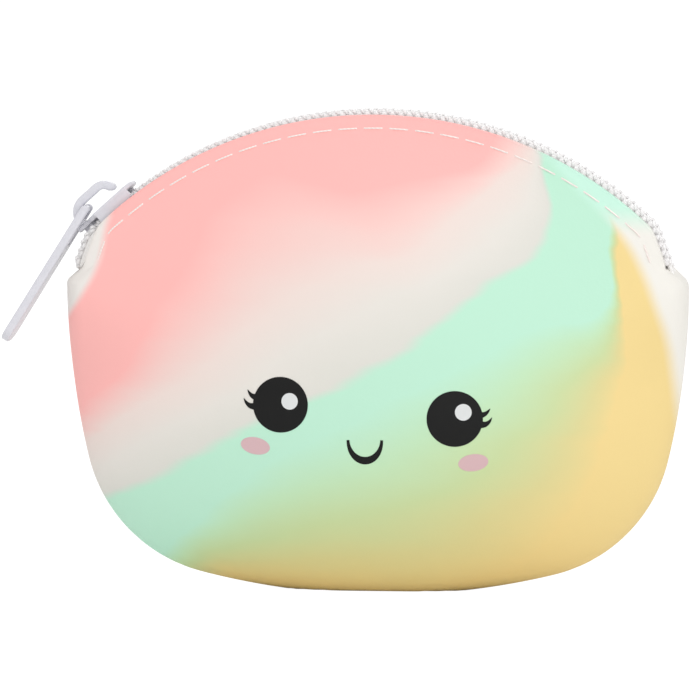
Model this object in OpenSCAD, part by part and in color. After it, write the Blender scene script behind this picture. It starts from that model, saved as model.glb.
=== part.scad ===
// Zip-top coin purse: one moulded silicone pouch with a nylon coil zip sewn into its arched mouth.
// X runs along the purse, Y from front to rear, Z up. The origin is the middle of the flat sole.
// Most of the zip is worked out along one path, the line of the coil's outer face in the XZ plane:
// a wide arc over the top, a tight bend at each end, and a short straight down to each shoulder.

/* [Pouch] */
// Width across the sides
shell_w = 110; // [96:1:126]
// Depth at the belly
shell_d = 36; // [28:1:44]
// Wall of the silicone
wall = 1.8; // [1.2:0.1:2.4]
// Height of the zip's outer face above the sole
purse_h = 85.4; // [78:0.2:94]
// Height of the shoulders, where the zip ends
shoulder_z = 55.4; // [50:0.2:60]
// Radius of the lower corners
corner_r = 27.5; // [20:0.1:32]
// Radius of the long sides
side_r = 127; // [90:1:160]
// Height of the belly's fullest point
belly_z = 34; // [28:1:40]
// Depth that the flat of the sole takes off the rounded bottom
sole_cut = 1; // [0.6:0.1:1.6]
// Step from the zip's face out to the shoulder
shoulder_lip = 1.5; // [1:0.1:2.2]

/* [Zip path] */
// Half angle of the wide arc
arc_end = 42.8; // [38:0.2:48]
// Slope of the zip where it enters the shoulders
end_slope = 70; // [62:1:78]
// Radius of the tight bends
bend_r = 8; // [7.8:0.1:10]
// Depth of the pouch's rim below the coil's outer face
rim_drop = 1.1; // [0.6:0.1:1.4]

/* [Coil and tape] */
// Height of the coil above the tape
coil_h = 1.5; // [1.2:0.05:1.9]
// Half width of the closed chain
chain_half = 3.1; // [2.6:0.1:3.5]
// Distance from tooth to tooth on one side
tooth_pitch = 1.5; // [1.4:0.05:2]
// Thickness of a tooth along the zip
tooth_w = 0.55; // [0.4:0.05:0.56]
// Reach of a tooth across the middle
tooth_reach = 0.9; // [0.6:0.05:1.1]
// Thickness of the woven tape
tape_t = 0.45; // [0.3:0.05:0.6]
// Depth of the tape's sewn edge below the coil's outer face
tape_depth = 7.5; // [6:0.1:7.6]

/* [Slider] */
// Length of the slider's plates
plate_l = 13; // [11:0.5:15]
// Width of the slider's body
slider_w = 8.9; // [8:0.1:10]
// Thickness of the top and bottom plates
plate_t = 0.85; // [0.7:0.05:1.1]
// Thickness of the side walls
flange_t = 1; // [0.7:0.05:1.1]
// Length of the side walls
flange_l = 7.2; // [6:0.1:8]
// Clearance between the slider and the coil
slider_gap = 0.2; // [0.15:0.05:0.35]
// Width of the wedge that parts the coil
wedge_w = 2; // [1.4:0.1:2.2]
// Height of the crown's arch above the plate
crown_h = 4; // [3.8:0.05:4.6]
// Thickness of the crown's strap
crown_t = 1.5; // [1.2:0.05:1.6]
// Width of the crown's strap
crown_w = 2.4; // [1.8:0.1:3]
// Gap under the crown's open end
crown_gap = 0.8; // [0.6:0.1:1]

/* [Pull] */
// Length from the bar to the far end
pull_l = 27.5; // [22:0.5:34]
// Width at the eye
pull_eye_w = 5.8; // [5.4:0.1:7]
// Width at the far end
pull_end_w = 7.4; // [6:0.1:9]
// Thickness of the pull
pull_t = 1.5; // [1.2:0.05:1.7]
// Radius of the bar that hangs in the crown
bar_r = 0.6; // [0.5:0.05:0.7]
// Angle of the resting pull below the line of the slider
pull_lean = 16; // [12:0.5:16]

/* [Seams] */
// Distance of the seam below the pouch's rim
seam_drop = 2.3; // [1.8:0.1:3]
// Length of one stitch
stitch_l = 4.1; // [3:0.1:4.6]
// Distance from stitch to stitch
stitch_pitch = 4.87; // [4.7:0.01:6]
// Radius of the thread
thread_r = 0.17; // [0.1:0.01:0.25]

/* [Hidden] */
$fn = 48;

// Outline of the pouch: sole, corner and side arcs, each tangent to the next
sole_end = 14;
corner_end = 76.5;
half_w = shell_w / 2;
sole_r = (half_w - corner_r * (sin(corner_end) - sin(sole_end))
          - side_r * (1 - sin(corner_end))) / sin(sole_end);
// Centre of each arc, with the outline's lowest point below the flat sole by sole_cut
sole_c = [0, sole_r - sole_cut];
corner_c = sole_c + (sole_r - corner_r) * [sin(sole_end), -cos(sole_end)];
side_c = corner_c + (corner_r - side_r) * [sin(corner_end), -cos(corner_end)];

// Zip path: radius of the wide arc that runs through the top and, with the bend, ends at the shoulder
turn = end_slope - arc_end;
zip_r = ((half_w - shoulder_lip) * sin(end_slope) - (purse_h - shoulder_z) * cos(end_slope)
         - bend_r * (1 - cos(turn))) / (cos(turn) - cos(end_slope));
zip_c = [0, purse_h - zip_r];
bend_c = zip_c + (zip_r - bend_r) * [sin(arc_end), cos(arc_end)];
bend_out = bend_c + bend_r * [sin(end_slope), cos(end_slope)];
arc_s = zip_r * arc_end * PI / 180;
bend_s = arc_s + bend_r * turn * PI / 180;
shoulder_s = bend_s + (bend_out[1] - shoulder_z) / sin(end_slope);

shoulder_run = shoulder_s - bend_s;
coil_run = shoulder_run - 1.3;
coil_end_s = bend_s + coil_run;

// Levels above and below the coil's outer face
tape_top = -coil_h;
tape_low = tape_top - tape_t;
seat_gap = 0.05;
tape_edge = chain_half - 1.8;
core_wall = 0.35;
// Corners of the tunnel through the front half's teeth, as Y and level
core_low = [core_wall - chain_half, tape_top + core_wall];
core_high = [-tape_edge - core_wall / 2, -core_wall];

// Widths across the mouth, from the middle outwards
tape_in = chain_half + 1.75;
tape_out = tape_in + tape_t;
mouth_half = tape_out + seat_gap;
rim_half = mouth_half + wall;

// Slider, at the closed end of the zip
slider_s = -(arc_s - 1);
open_s = arc_s - plate_l / 2;
plate_low = slider_gap;
plate_top = plate_low + plate_t;
flange_mid = 1.7;
under_top = tape_low - 0.5;
rail_gap = 0.3;

// Crown and bar, in the slider's own line: along the zip and out from it
crown_r = 2.9;
crown_nose_r = 3.6;
crown_x = [-2.3, 0.95];
crown_z = plate_top + crown_h - crown_r;
crown_nose_z = plate_top + crown_h - crown_nose_r;
bar_x = -2.9;
bar_z = plate_top + pull_t / 2 + 0.9;
wedge_x = [-5.6, -3.9, -2];
crown_tip = norm([crown_x[1] - bar_x, crown_z - bar_z]) + crown_r;
window_l = crown_tip + 0.5;
window_w = crown_w + 0.7;
nose_half = window_w / 2 - 0.15;

// Skin of the pouch: how far it runs past the rim before it is trimmed, and how full it is
over_out = 1.6;
over_in = 0.3;
fullness = 2.2;
parting_half = 0.4;
rings = 9;
belly_c = [0, belly_z];

function mirror_x(p) = [-p[0], p[1]];
function arc_pts(c, r, a0, a1, n) = [for (i = [0:n]) let (a = a0 + (a1 - a0) * i / n) c + r * [sin(a), -cos(a)]];
function smooth(t) = let (u = min(max(t, 0), 1)) u * u * (3 - 2 * u);

// A place on the zip path, as x, z and slope, at the distance s from the top, rightwards
function zip_at_right(s) =
    s <= arc_s ? let (a = s / arc_s * arc_end) concat(zip_c + zip_r * [sin(a), cos(a)], [a])
    : s <= bend_s ? let (a = arc_end + (s - arc_s) / bend_r * 180 / PI)
        concat(bend_c + bend_r * [sin(a), cos(a)], [a])
    : concat(bend_out + (s - bend_s) * [cos(end_slope), -sin(end_slope)], [end_slope]);
function zip_at(s) = let (p = zip_at_right(abs(s))) s < 0 ? [-p[0], p[1], -p[2]] : p;

// Puts children on the zip path, with their X along it and their Z out from it
module on_zip(s, level = 0) {
    p = zip_at(s);
    translate([p[0], 0, p[1]]) rotate([0, p[2], 0]) translate([0, 0, level]) children();
}

// Gives a flat shape of the XZ plane a width, from y0 to y1
module across(y0, y1) {
    translate([0, y1, 0]) rotate([90, 0, 0]) linear_extrude(y1 - y0) children();
}

// Right half of the zip path at a level, from the end of its straight, run below the bend, to the top
function zip_points(level, run) =
    let (out = [sin(end_slope), cos(end_slope)])
    concat([bend_out + level * out + run * [cos(end_slope), -sin(end_slope)]],
           arc_pts(bend_c, bend_r + level, 180 - end_slope, 180 - arc_end, 8),
           drop_first(arc_pts(zip_c, zip_r + level, 180 - arc_end, 180, 24)));
function whole(right) = concat(right, [for (i = [len(right) - 2:-1:0]) mirror_x(right[i])]);
function reversed(list) = [for (i = [len(list) - 1:-1:0]) list[i]];

// A strip that follows the zip path between two levels, from y0 to y1, and ends run below the bends
module zip_strip(low, high, y0, y1, run) {
    across(y0, y1) polygon(concat(whole(zip_points(high, run)), reversed(whole(zip_points(low, run)))));
}

// Right half of the pouch's outline, drawn in by off, from the sole's middle to the top of the zip
function half_outline(off, over) =
    let (n = [sin(end_slope), cos(end_slope)], d = [cos(end_slope), -sin(end_slope)],
         run = (half_w - off - bend_out[0] - over * n[0]) / d[0],
         join = bend_out + over * n + run * d,
         side_top = side_c + [side_r - off, 0])
    concat(
        arc_pts(sole_c, sole_r - off, 0, sole_end, 5),
        drop_first(arc_pts(corner_c, corner_r - off, sole_end, corner_end, 9)),
        drop_first(arc_pts(side_c, side_r - off, corner_end, 90, 4)),
        [(side_top + join) / 2, join, bend_out + over * n + run / 2 * d],
        arc_pts(bend_c, bend_r + over, 180 - end_slope, 180 - arc_end, 4),
        drop_first(arc_pts(zip_c, zip_r + over, 180 - arc_end, 180, 12)));
function drop_first(list) = [for (i = [1:len(list) - 1]) list[i]];
function full_outline(off, over) =
    let (right = half_outline(off, over), n = len(right))
    concat(right, [for (i = [n - 2:-1:1]) mirror_x(right[i])]);

// Half depth of the edge: thin along the closed sides and sole, the rim's along the mouth
function edge_half(z) = parting_half + (rim_half - 0.5 - parting_half) * smooth((z - shoulder_z) / 20 + 1);

// Half depth of the skin at the share s of the way out to an outline point of height z
function half_depth(s, z, off) =
    max(edge_half(z) - off, parting_half) * pow(s, 6)
    + (shell_d / 2 - off) * pow(1 - pow(s, fullness), 0.55 + 0.45 * smooth(z / purse_h));

// The rings of the skin change from an oval round the belly's middle to the outline itself
function oval_share(out, off) =
    1 / norm([out[0] / (half_w - off), out[1] / ((out[1] > 0 ? purse_h - belly_z : belly_z) - off)]);
function grow(s, oval) = s * (s * s + (1 - s * s) * oval);
function grown(share, oval, s, steps) =
    steps == 0 ? s : grown(share, oval, share / (s * s + (1 - s * s) * oval), steps - 1);
function ring_share(k) = 1 - pow(1 - k / rings, 1.8);

// A closed skin of triangles round the pouch, drawn in by off
module skin(off, over) {
    outline = full_outline(off, over);
    n = len(outline);
    half = 1 + rings * n;
    function at(side, k, j) = side * half + 1 + (k - 1) * n + j % n;
    pts = [for (side = [-1, 1], k = [0:rings], j = [0:(k == 0 ? 0 : n - 1)])
        let (out = outline[j] - belly_c, s = ring_share(k), p = belly_c + grow(s, oval_share(out, off)) * out)
        [p[0], side * half_depth(s, outline[j][1], off), p[1]]];
    fans = [for (j = [0:n - 1]) each [[0, at(0, 1, j + 1), at(0, 1, j)],
                                      [half, at(1, 1, j), at(1, 1, j + 1)]]];
    walls = [for (k = [1:rings - 1], j = [0:n - 1]) each
        [[at(0, k, j), at(0, k, j + 1), at(0, k + 1, j + 1)],
         [at(0, k, j), at(0, k + 1, j + 1), at(0, k + 1, j)],
         [at(1, k, j), at(1, k + 1, j + 1), at(1, k, j + 1)],
         [at(1, k, j), at(1, k + 1, j), at(1, k + 1, j + 1)]]];
    band = [for (j = [0:n - 1]) each
        [[at(0, rings, j), at(0, rings, j + 1), at(1, rings, j + 1)],
         [at(0, rings, j), at(1, rings, j + 1), at(1, rings, j)]]];
    polyhedron(pts, concat(fans, walls, band), convexity = 6);
}

// One piece of silicone, open along the arched mouth, with a flat sole and a small ledge at each shoulder
module shell() {
    fall = tan(40);
    ledge = [half_w - shoulder_lip, shoulder_z + 0.6];
    right_edge = concat([[half_w + 9, 0], ledge + 20 * [1, -fall], ledge, ledge + 2 * [-1, fall]],
                        zip_points(-rim_drop, 0));
    color("lightpink") difference() {
        intersection() {
            skin(0, over_out);
            across(-shell_d, shell_d) polygon(whole(right_edge));
        }
        intersection() {
            skin(wall, over_in);
            translate([-shell_w, -shell_d, wall]) cube([2 * shell_w, 2 * shell_d, 2 * purse_h]);
        }
        zip_strip(-tape_depth - 0.2, over_out - rim_drop, -mouth_half, mouth_half, shoulder_run + 2.5);
    }
}

// Half of the woven tape: flat under the coil, then turned down inside the pouch's rim
module tape_half() {
    color("whitesmoke") {
        zip_strip(tape_low, tape_top, -tape_out, -tape_edge, shoulder_run + 1.5);
        zip_strip(-tape_depth, tape_top, -tape_out, -tape_in, shoulder_run + 1.5);
    }
}
module tape_front() tape_half();
module tape_rear() mirror([0, 1, 0]) tape_half();

// Half of the coil: a spine on the tape, and a hollow tooth at each turn, parted where the slider waits
module coil_half(phase) {
    last = floor(coil_end_s / tooth_pitch) - 1;
    color("white") {
        zip_strip(tape_top, tape_top + core_wall - seat_gap, -chain_half, -tape_edge, coil_run);
        for (i = [-last:last]) {
            s = (i + phase) * tooth_pitch;
            on_zip(s) tooth(s < slider_s + 0.6 ? -tape_edge - 0.03 : tooth_reach);
        }
    }
}
module tooth(reach) {
    root = 0.03 - chain_half;
    translate([-tooth_w / 2, 0, 0]) rotate([90, 0, 90]) linear_extrude(tooth_w) difference() {
        translate([root, tape_top + 0.05]) square([reach - root, coil_h - 0.05]);
        translate(core_low) square(core_high - core_low);
    }
}
module coil_front() coil_half(0);
module coil_rear() mirror([0, 1, 0]) coil_half(0.5);

// The cord that the coil is wound round, a little smaller than the tunnel through the teeth
module core_strip() {
    zip_strip(core_low[1] + seat_gap, core_high[1] - seat_gap, core_low[0] + seat_gap,
              core_high[0] - seat_gap, coil_run - seat_gap);
}
module core_cord_front() color("gainsboro") core_strip();
module core_cord_rear() mirror([0, 1, 0]) core_cord_front();

// A round rod from one point to another
module rod(a, b, r) {
    d = b - a;
    translate(a) rotate([0, acos(d[2] / norm(d)), atan2(d[1], d[0])]) cylinder(norm(d), r, r, $fn = 16);
}

// A point of the seam on the outside of the pouch, at the distance s along the zip
function seam_point(s) =
    let (p = zip_at(s), n = [sin(p[2]), cos(p[2])], b = [p[0], p[1]] + over_out * n, out = b - belly_c,
         share = 1 - (over_out + rim_drop + seam_drop) / (out * n),
         ring = grown(share, oval_share(out, 0), share, 6), q = belly_c + share * out)
    [q[0], -half_depth(ring, b[1], 0) - thread_r - seat_gap, q[1]];

// The stitches that show along the outside of one rim
module seam_half() {
    last = floor((shoulder_s - stitch_l) / stitch_pitch);
    color("mistyrose") for (i = [-last:last])
        rod(seam_point(i * stitch_pitch - stitch_l / 2), seam_point(i * stitch_pitch + stitch_l / 2), thread_r);
}
module seam_thread_front() seam_half();
module seam_thread_rear() mirror([0, 1, 0]) seam_half();

// The same seam's lower thread, on the inside of the tape
module bobbin_half() {
    last = floor((shoulder_s - stitch_l) / stitch_pitch);
    color("mistyrose") for (i = [-last:last])
        on_zip(i * stitch_pitch, -rim_drop - seam_drop)
            translate([-stitch_l / 2, -tape_in + thread_r + seat_gap, 0])
            rotate([0, 90, 0]) cylinder(stitch_l, thread_r, thread_r, $fn = 16);
}
module bobbin_thread_front() bobbin_half();
module bobbin_thread_rear() mirror([0, 1, 0]) bobbin_half();

// The slider's two plates, wedge, side walls and open crown, cast in one. Its nose fits the pull's window
module slider_body() {
    half = slider_w / 2;
    wall_x = flange_mid - flange_l / 2;
    color("lavender") on_zip(slider_s) {
        side = [[-plate_l / 2, nose_half - 0.4], [-plate_l / 2 + 0.6, nose_half], [wall_x - 2.05, nose_half],
                [wall_x, half], [wall_x + flange_l, half], [plate_l / 2 - 0.4, 0.8 * half],
                [plate_l / 2, 0.58 * half]];
        translate([0, 0, plate_low]) linear_extrude(plate_t)
            polygon(concat([for (p = side) [p[0], -p[1]]], reversed(side)));
        translate([wall_x, -half, under_top - plate_t]) cube([flange_l + 1, slider_w, plate_t]);
        translate([wedge_x[0], -wedge_w / 2, under_top - plate_t]) cube([wall_x - wedge_x[0] + 1, wedge_w, plate_t]);
        translate([0, 0, under_top - 0.1]) linear_extrude(plate_low - under_top + 0.2)
            polygon([[wedge_x[0], -0.3], [wedge_x[0], 0.3], [wedge_x[1], wedge_w / 2], [wedge_x[2], 0.15],
                     [wedge_x[2], -0.15], [wedge_x[1], -wedge_w / 2]]);
        for (m = [0, 1]) mirror([0, m, 0]) {
            translate([wall_x, half - flange_t, tape_top + rail_gap])
                cube([flange_l, flange_t, plate_low - tape_top - rail_gap + 0.1]);
            translate([wall_x, half - flange_t, under_top - 0.1])
                cube([flange_l, flange_t, tape_low - rail_gap - 0.05 - under_top + 0.1]);
        }
        crown();
    }
}

// The crown: a strap that rises from the nose, arches back and ends open above the plate
module crown() {
    left = crown_x[0] - crown_nose_r;
    right = crown_x[1] + crown_r;
    across(-crown_w / 2, crown_w / 2) polygon(concat(
        [[left, plate_top - 0.2]], arc_pts([crown_x[0], crown_nose_z], crown_nose_r, 270, 180, 12),
        arc_pts([crown_x[1], crown_z], crown_r, 180, 90, 12),
        [[right, plate_top + crown_gap], [right - crown_t, plate_top + crown_gap]],
        arc_pts([crown_x[1], crown_z], crown_r - crown_t, 90, 180, 8),
        arc_pts([crown_x[0], crown_nose_z], crown_nose_r - crown_t, 180, 270, 8),
        [[left + crown_t, plate_top - 0.2]]));
}

// The pull: a flat bar with a window at its eye, whose end bar hangs in the crown
module pull_tab() {
    end_r = 2.5;
    rail_w = (pull_eye_w - window_w) / 2;
    color("lavender") on_zip(slider_s) translate([bar_x, 0, bar_z]) rotate([0, -pull_lean, 0]) {
        translate([0, 0, -pull_t / 2]) linear_extrude(pull_t) difference() {
            union() {
                polygon([[0, -pull_eye_w / 2], [0, pull_eye_w / 2], [end_r - pull_l, pull_end_w / 2],
                         [-pull_l, pull_end_w / 2 - end_r], [-pull_l, end_r - pull_end_w / 2],
                         [end_r - pull_l, -pull_end_w / 2]]);
                for (m = [-1, 1]) translate([end_r - pull_l, m * (pull_end_w / 2 - end_r)]) circle(end_r);
            }
            translate([-window_l, -window_w / 2]) square([window_l + 1, window_w]);
        }
        for (m = [0, 1]) mirror([0, m, 0])
            across(window_w / 2, pull_eye_w / 2) circle(pull_t / 2);
        across(-pull_eye_w / 2 + rail_w / 2, pull_eye_w / 2 - rail_w / 2) circle(bar_r);
    }
}

shell();
tape_front();
tape_rear();
coil_front();
coil_rear();
core_cord_front();
core_cord_rear();
seam_thread_front();
seam_thread_rear();
bobbin_thread_front();
bobbin_thread_rear();
slider_body();
pull_tab();
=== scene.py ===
# %% [markdown]
# # A squeeze coin purse, dressed for its portrait
# The purse is one soft moulding of marbled silicone, with a nylon coil zip sewn into its arched mouth,
# a lacquered slider with a flat pull, and a small face printed on the front.
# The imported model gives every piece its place, so this script only gives each piece its looks.
# Lengths are written in millimetres and turned to metres at the last moment.

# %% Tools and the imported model
import math
from bisect import bisect_left

import bmesh
import bpy
from mathutils import Matrix, Vector


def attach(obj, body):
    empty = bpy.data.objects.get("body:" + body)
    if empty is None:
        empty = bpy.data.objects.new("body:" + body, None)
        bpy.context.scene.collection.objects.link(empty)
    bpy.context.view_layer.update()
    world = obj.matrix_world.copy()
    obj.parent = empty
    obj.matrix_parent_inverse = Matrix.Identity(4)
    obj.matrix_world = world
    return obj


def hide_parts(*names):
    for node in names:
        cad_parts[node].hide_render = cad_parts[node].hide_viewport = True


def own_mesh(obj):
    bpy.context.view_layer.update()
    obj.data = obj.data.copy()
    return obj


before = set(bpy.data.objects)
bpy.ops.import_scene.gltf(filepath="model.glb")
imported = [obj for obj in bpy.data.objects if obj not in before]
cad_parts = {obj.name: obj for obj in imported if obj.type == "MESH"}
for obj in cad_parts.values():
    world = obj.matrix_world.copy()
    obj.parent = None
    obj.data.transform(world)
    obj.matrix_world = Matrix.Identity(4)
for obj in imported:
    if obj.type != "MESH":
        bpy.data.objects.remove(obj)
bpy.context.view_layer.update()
MM = 0.001

# %% [markdown]
# ## Camera
# The picture was taken from far off with a long lens, a little from the right and a little from above.
# A long lens a good metre away keeps the arch and the sole from bending. The lens length follows from how
# many millimetres one pixel of the picture covers where the purse stands.

# %% Camera at the picture's angle
mm_per_pixel, picture_pixels, sensor = 0.17684, 700, 36
aim = Vector((-4.83, 0, 42.4)) * MM
turn, rise, distance = math.radians(6), math.radians(4.5), 1.2
camera = bpy.data.objects.new("camera", bpy.data.cameras.new("camera"))
bpy.context.scene.collection.objects.link(camera)
bpy.context.scene.camera = camera
towards = Vector((-math.sin(turn) * math.cos(rise), math.cos(turn) * math.cos(rise), -math.sin(rise)))
camera.location = aim - towards * distance
camera.rotation_euler = towards.to_track_quat("-Z", "Y").to_euler()
camera.data.sensor_width = sensor
camera.data.lens = sensor * distance / (picture_pixels * mm_per_pixel * MM)
camera.data.clip_start = 0.01
print("lens: %.0f mm" % camera.data.lens)

# %% [markdown]
# ## The path of the zip
# Everything along the mouth follows one line, the outer face of the zip's coil: a wide arc over the top, a
# tight bend at each end and a short straight down to each shoulder. A place on it is a distance from the top,
# a place across the purse, and a level above or below the coil's outer face. Left of the closed slider the
# parted zip is slack and bulges out a little before it dips into the shoulder.

# %% The zip's line
arc_radius, arc_z, arc_half = 71.4807, 13.9193, 42.8
bend_radius, end_slope = 8, 70
slack_rise, slack_from, slack_to = 1.3, -54, -65.5


def along_circle(centre, radius, angle):
    """A point on a circle in the XZ plane, with the angle counted from straight up, rightwards."""
    return (centre[0] + radius * math.sin(math.radians(angle)), centre[1] + radius * math.cos(math.radians(angle)))


bend_centre = along_circle((0, arc_z), arc_radius - bend_radius, arc_half)
bend_end = along_circle(bend_centre, bend_radius, end_slope)
arc_length = arc_radius * math.radians(arc_half)
bend_length = arc_length + bend_radius * math.radians(end_slope - arc_half)


def zip_place(s):
    """x, z and slope of the zip's line at the distance s from the top."""
    run = abs(s)
    if run <= arc_length:
        slope = run / arc_length * arc_half
        x, z = along_circle((0, arc_z), arc_radius, slope)
    elif run <= bend_length:
        slope = arc_half + math.degrees((run - arc_length) / bend_radius)
        x, z = along_circle(bend_centre, bend_radius, slope)
    else:
        slope, rest = end_slope, run - bend_length
        x = bend_end[0] + rest * math.cos(math.radians(slope))
        z = bend_end[1] - rest * math.sin(math.radians(slope))
    return (-x, z, -slope) if s < 0 else (x, z, slope)


def soft_step(t):
    """Rises smoothly from 0 to 1 as t does."""
    t = min(max(t, 0), 1)
    return t * t * (3 - 2 * t)


def on_zip(s, y, level):
    """That place as a point, y across the purse and level out from the coil's face."""
    x, z, slope = zip_place(s)
    level += slack_rise * soft_step((slack_from - s) / 5) * soft_step((s - slack_to) / 2.5)
    slope = math.radians(slope)
    return Vector((x + level * math.sin(slope), y, z + level * math.cos(slope))) * MM


coil_end = bend_length + 7.0
shoulder_end = bend_length + 8.3
print("zip: %.0f mm from shoulder to shoulder" % (2 * shoulder_end))

# %% [markdown]
# ## The shape of the pouch
# Seen from the front the pouch is a flat-bottomed oval: a nearly straight sole, two round corners, long sides
# that bow a little, a small ledge at each shoulder and the arch of the mouth. From the side it swells to a
# belly and thins to a seam line down its sides. Each point of the skin lies on a ray from the belly's middle
# to that outline, and how far out it is decides how far it stands from the middle plane.

# %% The outline of the pouch
half_width, half_belly, top_z, belly_z = 55, 18, 85.4, 34
shoulder_z, wall, rim_drop = 55.4, 1.45, 1.1
corner_radius, side_radius, sole_turn, corner_turn = 27.5, 127, 14, 76.5
rim_half, side_half = 6.65, 0.4


def arc(centre, radius, start, end, steps):
    """Points on a circle, with angles counted from straight down, rightwards."""
    return [along_circle(centre, radius, 180 - start - (end - start) * i / steps) for i in range(steps + 1)]


def sine(angle):
    """Sine of an angle in degrees."""
    return math.sin(math.radians(angle))


# The sole, a corner and a side meet without a kink, which fixes the sole's radius and the three centres.
sole_radius = (half_width - corner_radius * (sine(corner_turn) - sine(sole_turn))
               - side_radius * (1 - sine(corner_turn))) / sine(sole_turn)
sole_centre = (0, sole_radius - 1)
corner_centre = along_circle(sole_centre, sole_radius - corner_radius, 180 - sole_turn)
side_centre = along_circle(corner_centre, side_radius - corner_radius, -corner_turn)


def closed_sides(inset, fine):
    """Right half of the closed edge: sole, corner and side, drawn in by inset."""
    return (arc(sole_centre, sole_radius - inset, 0, sole_turn, 10 * fine)
            + arc(corner_centre, corner_radius - inset, sole_turn, corner_turn, 15 * fine)[1:]
            + arc(side_centre, side_radius - inset, corner_turn, 90, 12 * fine)[1:])


def mouth_arch(level, fine):
    """Right half of the mouth, from the end of the bend to the top."""
    return (arc(bend_centre, bend_radius + level, 180 - end_slope, 180 - arc_half, 3 * fine)
            + arc((0, arc_z), arc_radius + level, 180 - arc_half, 180, 26 * fine)[1:])


# %% How far the skin stands from the middle plane
def rays(inset, level):
    """The full outline as angle and reach, seen from the belly's middle."""
    down = math.radians(end_slope)
    start = mouth_arch(level, 1)[0]
    run = (half_width - inset - start[0]) / math.cos(down)
    corner = (half_width - inset, start[1] - run * math.sin(down))
    outline = closed_sides(inset, 3) + [corner] + mouth_arch(level, 3)
    return [(math.atan2(z - belly_z, x), math.hypot(x, z - belly_z)) for x, z in outline]


outer_rays, inner_rays = rays(0, 1.6), rays(wall, 0.3)


def reach_at(ray_list, angle):
    """How far the outline is from the belly's middle in that direction."""
    at = min(max(bisect_left(ray_list, (angle, 0)), 1), len(ray_list) - 1)
    (a0, r0), (a1, r1) = ray_list[at - 1], ray_list[at]
    return r0 + (r1 - r0) * (angle - a0) / (a1 - a0)


def stand_off(s, z, inset):
    """Distance from the middle plane at the share s of the way to an outline point of height z."""
    edge = side_half + (rim_half - side_half) * soft_step((z - shoulder_z) / 20 + 1)
    # The last twentieth of the way rounds over to the closed edge.
    rounded = math.sqrt(1 - 0.9 * max(s / 0.05 - 19, 0) ** 2)
    swell = max(1 - s ** 2.2, 0) ** (0.55 + 0.45 * soft_step(z / top_z))
    return max(edge - inset, side_half) * rounded * s ** 6 + (half_belly - inset) * swell


def oval_share(x, z, inset):
    """Reach of the belly's oval along a ray, as a share of the outline's reach."""
    height = (top_z - belly_z if z > 0 else belly_z) - inset
    return 1 / math.hypot(x / (half_width - inset), z / height)


def ring_of(share, oval):
    """Which ring passes through that share of a ray."""
    s = share
    for _ in range(10):
        s = share / (s * s + (1 - s * s) * oval)
    return min(s, 1)


def skin_depth(x, z):
    """Distance of the pouch's outside from the middle plane at a place on its front."""
    angle = math.atan2(z - belly_z, abs(x))
    reach = reach_at(outer_rays, angle)
    out = (reach * math.cos(angle), reach * math.sin(angle))
    ring = ring_of(math.hypot(x, z - belly_z) / reach, oval_share(*out, 0))
    return stand_off(ring, out[1] + belly_z, 0)


print("belly %.1f mm from the middle plane" % skin_depth(0, belly_z))
print("20 mm off centre %.1f mm" % skin_depth(20, belly_z))

# %% [markdown]
# ## Colours and nodes
# Colours are noted as the hex values of a paint card, which are sRGB, and the shader wants them linear.
# One short function adds a node, sets it up and links whatever is handed to it, so each finish below reads
# as a list of its ingredients.

# %% Helpers for materials
def linear(code):
    """An sRGB hex value as a linear colour."""
    values = [int(code[i:i + 2], 16) / 255 for i in (0, 2, 4)]
    return [v / 12.92 if v <= 0.04045 else ((v + 0.055) / 1.055) ** 2.4 for v in values] + [1]


def add(material, kind, inputs=(), **settings):
    """Adds a node with its settings, and sets or links its inputs."""
    tree = material.node_tree
    made = tree.nodes.new("ShaderNode" + kind)
    for key, value in settings.items():
        setattr(made, key, value)
    for key, value in dict(inputs).items():
        if isinstance(value, bpy.types.NodeSocket):
            tree.links.new(value, made.inputs[key])
        else:
            made.inputs[key].default_value = value
    return made


def finish(name):
    """An empty material for one real finish, with its shader."""
    material = bpy.data.materials.new(name)
    material.use_nodes = True
    return material, material.node_tree.nodes["Principled BSDF"]


def wire(material, *pairs):
    """Links each output to its input."""
    for source, target in pairs:
        material.node_tree.links.new(source, target)


def ramp_of(material, share, colours):
    """Evenly spaced colours over a share."""
    ramp = add(material, "ValToRGB", {"Fac": share})
    stops = ramp.color_ramp.elements
    stops[0].color, stops[-1].color = linear(colours[0]), linear(colours[-1])
    for i, code in enumerate(colours[1:-1], 1):
        stops.new(i / (len(colours) - 1)).color = linear(code)
    return ramp.outputs[0]


print("paper white is linear %.2f" % linear("F4F4F4")[0])

# %% [markdown]
# ## Marbled silicone
# Platinum-cured silicone rubber, poured in four pastel colours that flowed into each other in the mould:
# pink, warm white, mint and yellow. Its surface is satin, with a fine grain left by the mould. The colours
# run in bands from lower left to upper right, so the pattern is drawn along a line turned 37 degrees: each
# border between two colours is one curve over the distance along that line, and a soft step across it.
# A little stretched noise gives the borders the drag of a liquid. A picture would be simpler, but curves and
# ramps stay sharp at any size. At the right a strip of mint and white covers the bands, at the left a white one.

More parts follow.
